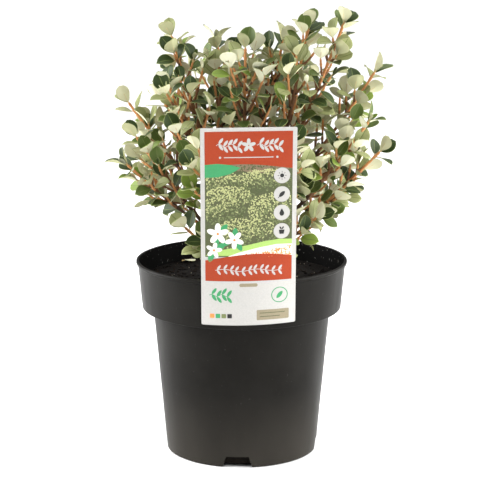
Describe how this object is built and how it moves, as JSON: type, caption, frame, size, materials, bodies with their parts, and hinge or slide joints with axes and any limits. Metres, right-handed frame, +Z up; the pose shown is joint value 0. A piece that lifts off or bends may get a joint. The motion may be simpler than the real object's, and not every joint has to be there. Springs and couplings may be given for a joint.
{
  "type": "potted correa shrub",
  "caption": "Young evergreen shrub of many fanned stems with small round felted leaves, in a round moulded nursery pot with a card hooked over its lip.",
  "frame": {"origin": "centre of the pot's flat underside", "axes": "+Z up along the pot's axis; -Y towards the side that carries the card"},
  "size_m": [0.2378, 0.2016, 0.3708],
  "materials": {
    "pot_plastic": "satin charcoal moulded plastic with light scuffs",
    "potting_mix": "dark moist bark-based mix",
    "card": "thin white printed plastic sheet",
    "bark": "orange-brown felted young bark, browner on older stems",
    "foliage": "leathery leaves, green above and pale grey-green felted below"
  },
  "bodies": {
    "root": {"pot": "pot_plastic", "potting_mix": "potting_mix", "care_card": "card", "card_tongue": "card", "trunk": "bark", "bough_left_low": "bark", "bough_left_mid": "bark", "bough_left_high": "bark", "bough_centre": "bark", "bough_right_high": "bark", "bough_right_mid": "bark", "bough_right_low": "bark", "bough_back_left": "bark", "bough_back_mid": "bark", "bough_back_right": "bark", "bough_front_left": "bark", "bough_front_right": "bark", "bough_left_side": "bark", "bough_left_inner": "bark", "bough_right_inner": "bark", "bough_right_top": "bark", "bough_right_side": "bark", "bough_back_left_low": "bark", "bough_back_right_low": "bark", "bough_back_inner": "bark", "bough_left_low_side": "bark", "bough_right_low_side": "bark", "bough_low_left": "bark", "bough_low_right": "bark", "foliage_left_low": "foliage", "foliage_left_mid": "foliage", "foliage_left_high": "foliage", "foliage_centre": "foliage", "foliage_right_high": "foliage", "foliage_right_mid": "foliage", "foliage_right_low": "foliage", "foliage_back_left": "foliage", "foliage_back_mid": "foliage", "foliage_back_right": "foliage", "foliage_front_left": "foliage", "foliage_front_right": "foliage", "foliage_left_side": "foliage", "foliage_left_inner": "foliage", "foliage_right_inner": "foliage", "foliage_right_top": "foliage", "foliage_right_side": "foliage", "foliage_back_left_low": "foliage", "foliage_back_right_low": "foliage", "foliage_back_inner": "foliage", "foliage_left_low_side": "foliage", "foliage_right_low_side": "foliage", "foliage_low_left": "foliage", "foliage_low_right": "foliage"}
  },
  "joints": []
}
